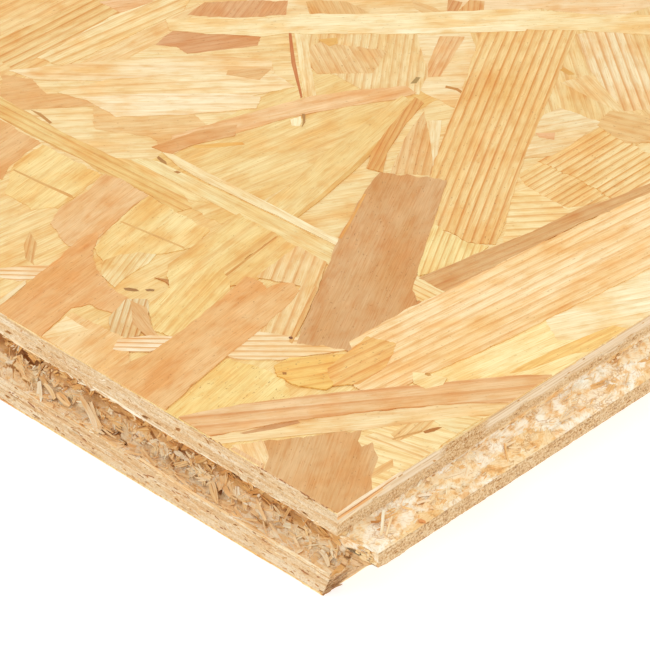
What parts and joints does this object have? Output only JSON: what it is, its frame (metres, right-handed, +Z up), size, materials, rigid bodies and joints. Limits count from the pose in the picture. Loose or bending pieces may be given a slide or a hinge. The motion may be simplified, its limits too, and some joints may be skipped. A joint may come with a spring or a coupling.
{
  "type": "osb tongue and groove panel",
  "caption": "Flat oriented strand board panel with a milled tongue along one long and one short edge and a matching groove along the opposite edges.",
  "frame": {"origin": "middle of the underside of the whole board, tongues included", "axes": "+Y along the board's length towards the short tongue, +X across it towards the long tongue, +Z up out of the upper face"},
  "size_m": [0.681, 2.506, 0.022],
  "materials": {
    "strand_wood": "pressed softwood strands, unsanded and unsealed, with rough milled edges"
  },
  "bodies": {
    "root": {"osb_panel": "strand_wood"}
  },
  "joints": []
}
